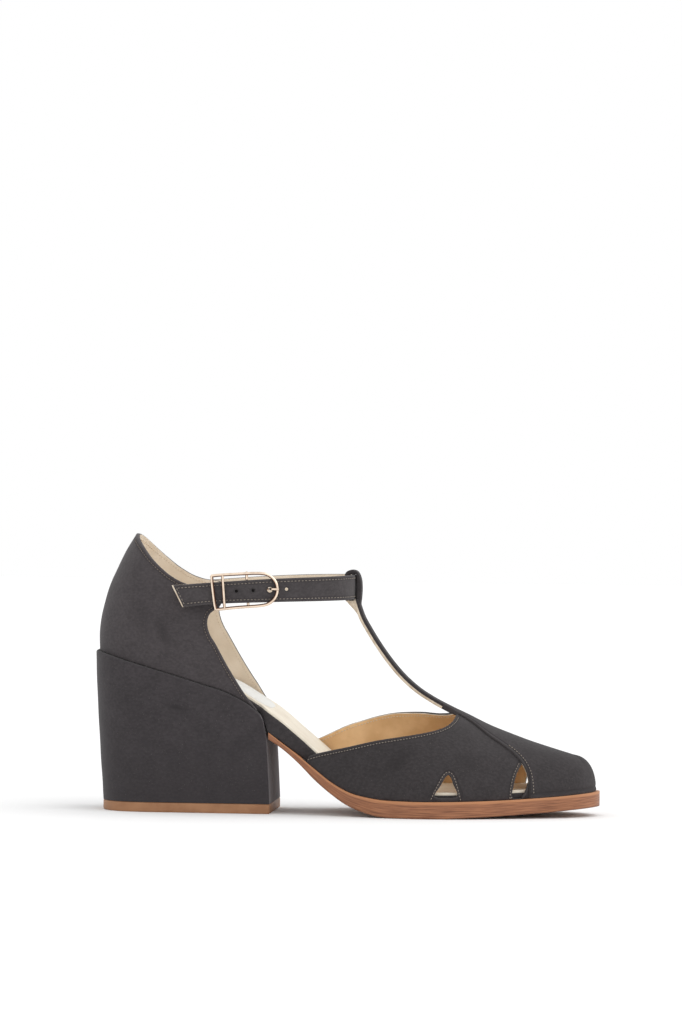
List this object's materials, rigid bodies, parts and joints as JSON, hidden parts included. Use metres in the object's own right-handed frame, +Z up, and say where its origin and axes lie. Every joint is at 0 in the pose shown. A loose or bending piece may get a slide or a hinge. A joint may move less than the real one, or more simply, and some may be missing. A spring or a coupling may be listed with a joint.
{
  "type": "t strap shoe",
  "caption": "Women's right T-strap shoe on a high block heel, with a buckled ankle strap, cut-outs at the sides, a closed toe and an open waist.",
  "frame": {"origin": "on the floor under the middle of the heel's top piece", "axes": "+X to the toe, +Y to the inner side of the foot, +Z up"},
  "size_m": [0.2427, 0.0801, 0.1326],
  "materials": {
    "nubuck": "matt charcoal nubuck with a short nap",
    "sole_edge": "stained and waxed brown leather edge",
    "tip_leather": "smooth tan top piece",
    "sock_leather": "smooth cream lining leather",
    "rose_gold": "polished rose-gold plate"
  },
  "bodies": {
    "root": {"outsole": "sole_edge", "heel_block": "nubuck", "heel_tip": "tip_leather", "insole_board": "nubuck", "insole_sock": "sock_leather", "vamp": "nubuck", "counter": "nubuck", "ankle_strap": "nubuck", "buckle_tab": "nubuck", "buckle_frame": "rose_gold", "buckle_prong": "rose_gold"}
  },
  "joints": []
}
